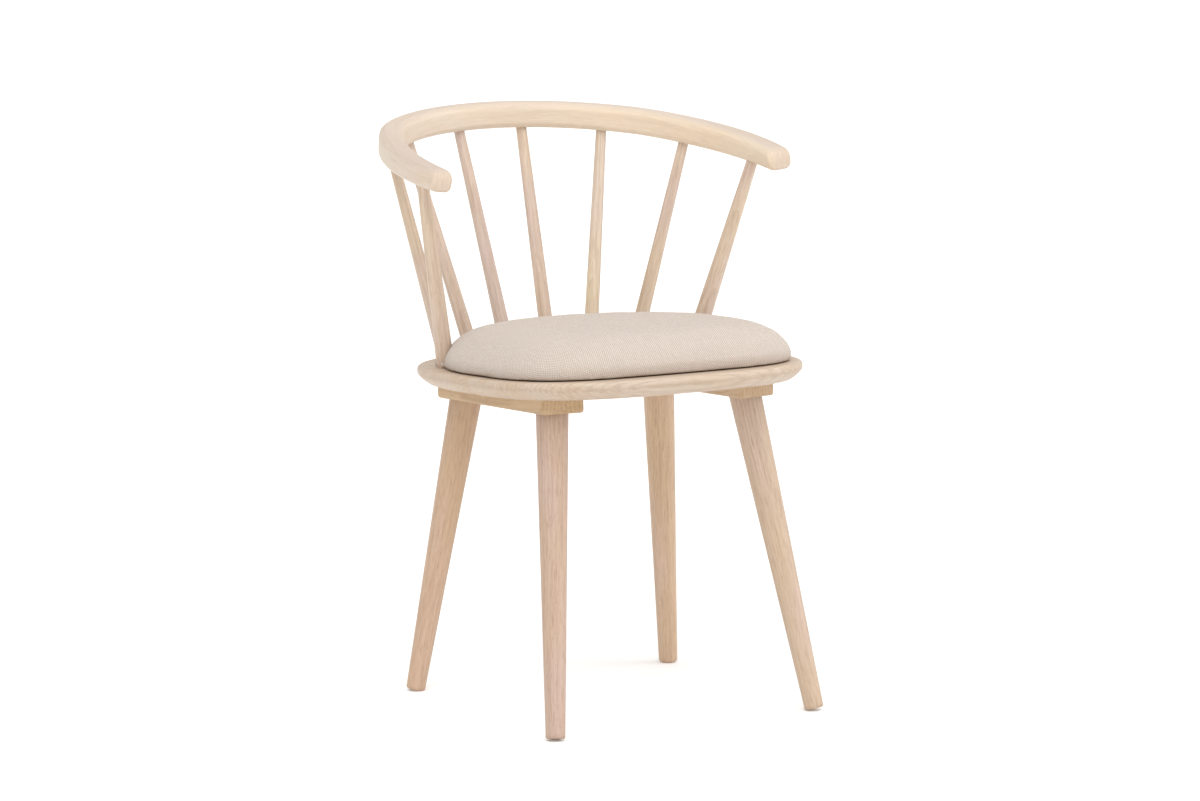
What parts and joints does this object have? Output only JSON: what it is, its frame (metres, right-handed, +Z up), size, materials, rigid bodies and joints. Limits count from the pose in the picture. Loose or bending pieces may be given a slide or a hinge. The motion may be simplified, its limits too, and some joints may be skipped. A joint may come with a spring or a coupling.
{
  "type": "wooden armchair",
  "caption": "Low-back wooden armchair: D-shaped seat on splayed round legs, fanned spindles carrying a bent back-and-arm rail, and a domed fabric seat pad.",
  "frame": {"origin": "on the floor, under the middle of the chair's width and depth", "axes": "+Z up, the chair faces -Y, and +X points to the sitter's left"},
  "size_m": [0.5462, 0.5645, 0.7616],
  "materials": {
    "rail_wood": "pale whitewashed hardwood under matt lacquer, fine straight grain",
    "spindle_wood": "pale whitewashed hardwood under matt lacquer, grain along the spindle",
    "seat_wood": "pale whitewashed hardwood under matt lacquer, grain across the seat",
    "leg_wood": "light tan hardwood under matt lacquer, grain along the leg",
    "cleat_wood": "tan hardwood under matt lacquer, sawn faces",
    "seat_fabric": "beige basket-weave upholstery cloth, matt",
    "board_wood": "raw birch plywood",
    "zinc_steel": "zinc plated steel"
  },
  "bodies": {
    "root": {"bow_rail": "rail_wood", "seat_plate": "seat_wood", "seat_cushion": "seat_fabric", "cushion_base_board": "board_wood", "spindle_back_right": "spindle_wood", "spindle_outer_right": "spindle_wood", "spindle_side_right": "spindle_wood", "spindle_arm_right": "spindle_wood", "spindle_back_left": "spindle_wood", "spindle_outer_left": "spindle_wood", "spindle_side_left": "spindle_wood", "spindle_arm_left": "spindle_wood", "leg_cleat_right": "cleat_wood", "leg_cleat_left": "cleat_wood", "leg_front_right": "leg_wood", "leg_back_right": "leg_wood", "leg_front_left": "leg_wood", "leg_back_left": "leg_wood", "leg_bolt_front_right": "zinc_steel", "leg_bolt_back_right": "zinc_steel", "leg_bolt_front_left": "zinc_steel", "leg_bolt_back_left": "zinc_steel", "leg_insert_front_right": "zinc_steel", "leg_insert_back_right": "zinc_steel", "leg_insert_front_left": "zinc_steel", "leg_insert_back_left": "zinc_steel", "cleat_screw_right_1": "zinc_steel", "cleat_screw_right_2": "zinc_steel", "cleat_screw_right_3": "zinc_steel", "cleat_screw_left_1": "zinc_steel", "cleat_screw_left_2": "zinc_steel", "cleat_screw_left_3": "zinc_steel", "cushion_screw_front_right": "zinc_steel", "cushion_screw_back_right": "zinc_steel", "cushion_screw_front_left": "zinc_steel", "cushion_screw_back_left": "zinc_steel"}
  },
  "joints": []
}
